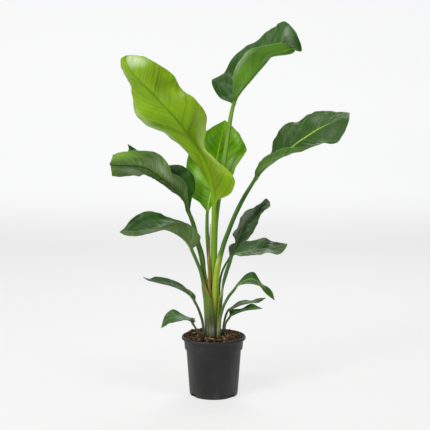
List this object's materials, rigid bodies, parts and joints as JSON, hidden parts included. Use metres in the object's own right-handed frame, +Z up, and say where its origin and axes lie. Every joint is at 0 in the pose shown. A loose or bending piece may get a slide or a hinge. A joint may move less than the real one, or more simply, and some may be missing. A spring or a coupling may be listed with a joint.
{
  "type": "potted bird of paradise plant",
  "caption": "Tall house plant with paddle leaves on long channelled stalks that rise as a flat fan from a sheathed shoot, in a plain round plastic nursery pot filled with bark compost.",
  "frame": {"origin": "centre of the pot's underside, on the floor", "axes": "+Z up; +X to the right of the fan of leaves as the picture shows it; -Y towards the viewer of the picture"},
  "size_m": [0.6244, 0.17, 0.9775],
  "materials": {
    "pot_plastic": "charcoal recycled plastic, satin-matt, faint moulding rings",
    "compost": "dark brown bark and coir chunks, matt and lumpy",
    "dried_leaf": "dry brown papery sheath",
    "young_leaf": "fresh yellow-green leaf, satin, with fine parallel veins",
    "leaf": "deep green leathery leaf, glossy above and paler grey-green below, with fine parallel veins"
  },
  "bodies": {
    "root": {"pot": "pot_plastic", "soil": "compost", "dried_sheath": "dried_leaf", "leaf_young": "young_leaf", "leaf_top": "leaf", "leaf_right": "leaf", "leaf_back": "leaf", "leaf_left": "leaf", "leaf_left_mid": "leaf", "leaf_right_high": "leaf", "leaf_right_mid": "leaf", "leaf_left_low": "leaf", "leaf_left_lowest": "leaf", "leaf_right_low": "leaf", "leaf_pair_upper": "leaf", "leaf_pair_lower": "leaf"}
  },
  "joints": []
}
